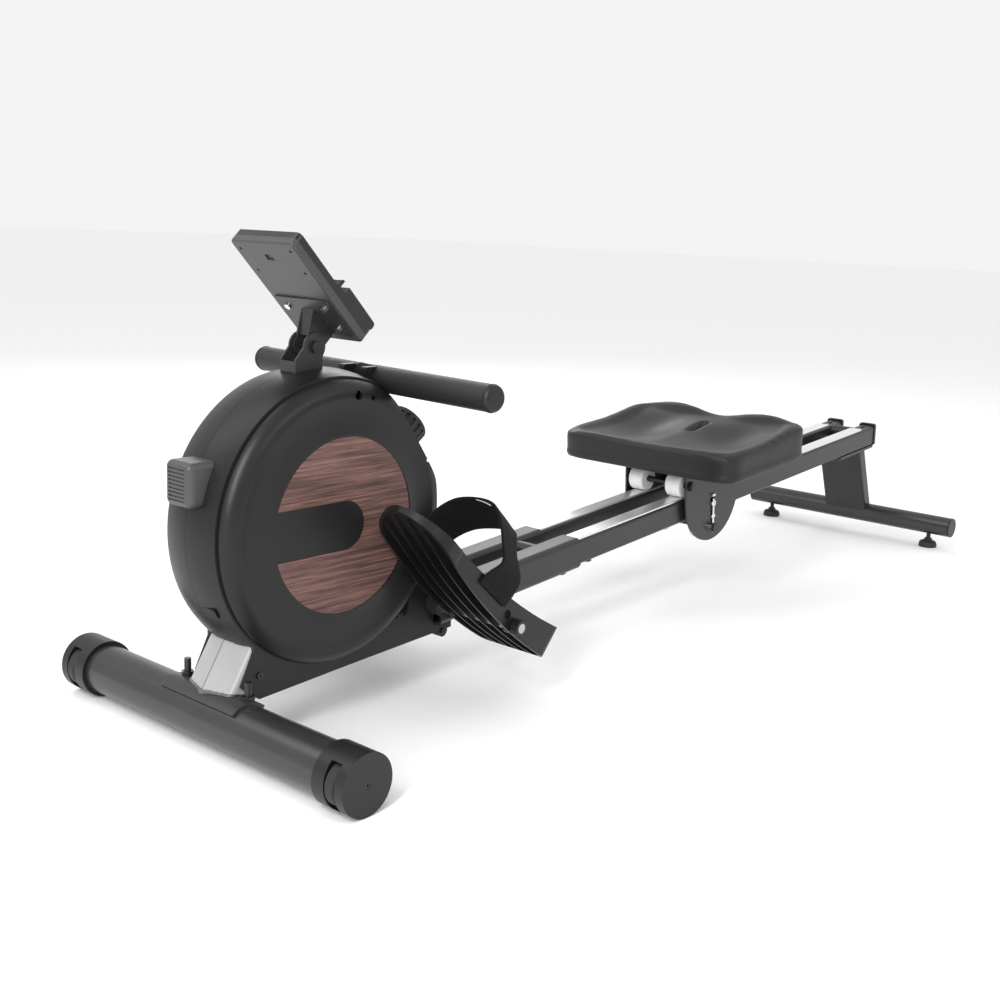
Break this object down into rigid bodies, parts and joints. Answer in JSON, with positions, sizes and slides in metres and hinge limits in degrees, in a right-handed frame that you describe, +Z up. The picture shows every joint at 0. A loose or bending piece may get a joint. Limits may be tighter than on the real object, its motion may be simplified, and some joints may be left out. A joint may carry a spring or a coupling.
{
  "type": "magnetic rowing machine",
  "caption": "Foldless dual-rail rower: drum-shaped flywheel housing, pull handle, tilting console, strapped footrests, sliding seat and stabilizer feet.",
  "frame": {"origin": "on the floor under the middle of the whole machine, on its mid-plane", "axes": "+X from the flywheel to the seat, +Y to the rower's right, +Z up"},
  "size_m": [1.6746, 0.509, 0.5727],
  "materials": {
    "painted_steel": "satin",
    "grey_steel": "satin",
    "housing_plastic": "satin",
    "black_plastic": "matte",
    "grey_plastic": "satin",
    "wood_inlay": "satin",
    "steel": "satin",
    "chrome_steel": "polished",
    "aluminium": "satin",
    "cast": "matte",
    "rubber": "matte",
    "foam": "matte",
    "webbing": "woven",
    "white_plastic": "satin",
    "screen": "gloss",
    "cushion": "matte",
    "magnet_steel": "satin"
  },
  "bodies": {
    "frame": {"axle_bracket": "painted_steel", "console_pivot_bolt": "steel", "console_post": "painted_steel", "cross_screws": "steel", "drive_axles": "steel", "drive_belt": "rubber", "frame_bolts": "steel", "front_bumper": "grey_plastic", "front_end_caps": "black_plastic", "front_post": "grey_steel", "front_stabilizer": "painted_steel", "handle_cradle": "housing_plastic", "housing_left": "housing_plastic", "housing_right": "housing_plastic", "main_beam": "painted_steel", "pedal_nuts": "black_plastic", "pedal_shaft": "steel", "rail_cross_tubes": "painted_steel", "rail_end_caps": "black_plastic", "rail_sleeves": "painted_steel", "rail_strips": "aluminium", "rear_end_caps": "black_plastic", "rear_leg": "painted_steel", "rear_stabilizer": "painted_steel", "recoil_spring": "steel", "slide_rails": "painted_steel", "stabilizer_bolts": "steel", "wood_panels": "wood_inlay"},
    "wheel_left": {"transport_wheel_left": "rubber"},
    "wheel_right": {"transport_wheel_right": "rubber"},
    "flywheel": {"flywheel": "cast", "flywheel_bearings": "steel"},
    "spool": {"strap_spool": "black_plastic"},
    "guide": {"guide_roller": "black_plastic"},
    "yoke": {"magnet_yoke": "magnet_steel"},
    "knob": {"tension_knob": "black_plastic"},
    "handle": {"handlebar": "steel", "handle_grips": "foam", "handle_end_caps": "black_plastic", "pull_strap": "webbing"},
    "console": {"console_bracket": "steel", "console_back": "grey_plastic", "console_front": "black_plastic", "console_screen": "screen", "bracket_screws": "chrome_steel"},
    "button": {"console_button": "black_plastic"},
    "door": {"battery_door": "grey_plastic"},
    "pedal_left": {"pedal_left": "black_plastic", "pedal_strap_left": "webbing"},
    "pedal_right": {"pedal_right": "black_plastic", "pedal_strap_right": "webbing"},
    "seat": {"seat_cushion": "cushion", "seat_carriage": "painted_steel", "carriage_axles": "chrome_steel", "lower_adjusters": "chrome_steel"},
    "front_rollers": {"front_rollers": "white_plastic"},
    "rear_rollers": {"rear_rollers": "white_plastic"},
    "lower_rollers": {"lower_rollers": "white_plastic"},
    "foot_left": {"foot_left": "rubber"},
    "foot_right": {"foot_right": "rubber"}
  },
  "joints": [
    {"name": "wheel_left_spin", "type": "hinge", "parent": "frame", "child": "wheel_left", "pos_m": [-0.8049, -0.232, 0.0348], "axis": [0, 1, 0], "continuous": true},
    {"name": "wheel_right_spin", "type": "hinge", "parent": "frame", "child": "wheel_right", "pos_m": [-0.8049, 0.232, 0.0348], "axis": [0, 1, 0], "continuous": true},
    {"name": "flywheel_spin", "type": "hinge", "parent": "frame", "child": "flywheel", "pos_m": [-0.65, 0, 0.2448], "axis": [0, 1, 0], "continuous": true},
    {"name": "handle_pull", "type": "slide", "parent": "frame", "child": "handle", "axis": [0.9968, 0, 0.0802], "range_m": [0, 1.1], "stiffness_N_per_m": 25, "springref_m": -0.3, "deforming": ["pull_strap"]},
    {"name": "spool_turn", "type": "hinge", "parent": "frame", "child": "spool", "pos_m": [-0.5413, 0, 0.158], "axis": [0, 1, 0], "range_deg": [0, 3100]},
    {"name": "guide_turn", "type": "hinge", "parent": "frame", "child": "guide", "pos_m": [-0.58098, 0, 0.35649], "axis": [0, 1, 0], "range_deg": [0, 7200]},
    {"name": "tension_turn", "type": "hinge", "parent": "frame", "child": "knob", "pos_m": [-0.52028, 0, 0.32142], "axis": [0.81, 0, 0.5864], "range_deg": [0, 300]},
    {"name": "yoke_swing", "type": "hinge", "parent": "frame", "child": "yoke", "pos_m": [-0.65, 0, 0.3628], "axis": [0, 1, 0], "range_deg": [0, 13]},
    {"name": "console_tilt", "type": "hinge", "parent": "frame", "child": "console", "pos_m": [-0.6583, 0, 0.4455], "axis": [0, 1, 0], "range_deg": [-25, 20]},
    {"name": "button_press", "type": "slide", "parent": "console", "child": "button", "axis": [-0.7157, 0, -0.6984], "range_m": [0, 0.0012], "stiffness_N_per_m": 1200, "springref_m": -0.0002},
    {"name": "door_open", "type": "hinge", "parent": "console", "child": "door", "pos_m": [-0.6847, 0, 0.51684], "axis": [0, -1, 0], "range_deg": [0, 95]},
    {"name": "pedal_left_tilt", "type": "hinge", "parent": "frame", "child": "pedal_left", "pos_m": [-0.4783, -0.1255, 0.1145], "axis": [0, 1, 0], "range_deg": [-15, 12]},
    {"name": "pedal_right_tilt", "type": "hinge", "parent": "frame", "child": "pedal_right", "pos_m": [-0.4783, 0.1255, 0.1145], "axis": [0, 1, 0], "range_deg": [-15, 12]},
    {"name": "seat_slide", "type": "slide", "parent": "frame", "child": "seat", "axis": [0.9968, 0, 0.0802], "range_m": [-0.26, 0.46]},
    {"name": "front_rollers_roll", "type": "hinge", "parent": "seat", "child": "front_rollers", "pos_m": [0.09613, 0, 0.19475], "axis": [0, 1, 0], "range_deg": [-760, 1330]},
    {"name": "rear_rollers_roll", "type": "hinge", "parent": "seat", "child": "rear_rollers", "pos_m": [0.23169, 0, 0.20566], "axis": [0, 1, 0], "range_deg": [-760, 1330]},
    {"name": "lower_rollers_roll", "type": "hinge", "parent": "seat", "child": "lower_rollers", "pos_m": [0.17058, 0, 0.11737], "axis": [0, 1, 0], "range_deg": [-1210, 700]},
    {"name": "foot_left_turn", "type": "hinge", "parent": "frame", "child": "foot_left", "pos_m": [0.8186, -0.1745, 0.01], "axis": [0, 0, 1], "range_deg": [-720, 720]},
    {"name": "foot_right_turn", "type": "hinge", "parent": "frame", "child": "foot_right", "pos_m": [0.8186, 0.1745, 0.01], "axis": [0, 0, 1], "range_deg": [-720, 720]}
  ],
  "couplings": [
    {"joint": "spool_turn", "follows": "handle_pull", "rad_per_m": 47.847},
    {"joint": "guide_turn", "follows": "handle_pull", "rad_per_m": 112.36},
    {"joint": "yoke_swing", "follows": "tension_turn", "ratio": 0.04},
    {"joint": "front_rollers_roll", "follows": "seat_slide", "rad_per_m": 49.261},
    {"joint": "rear_rollers_roll", "follows": "seat_slide", "rad_per_m": 49.261},
    {"joint": "lower_rollers_roll", "follows": "seat_slide", "rad_per_m": -44.843}
  ]
}
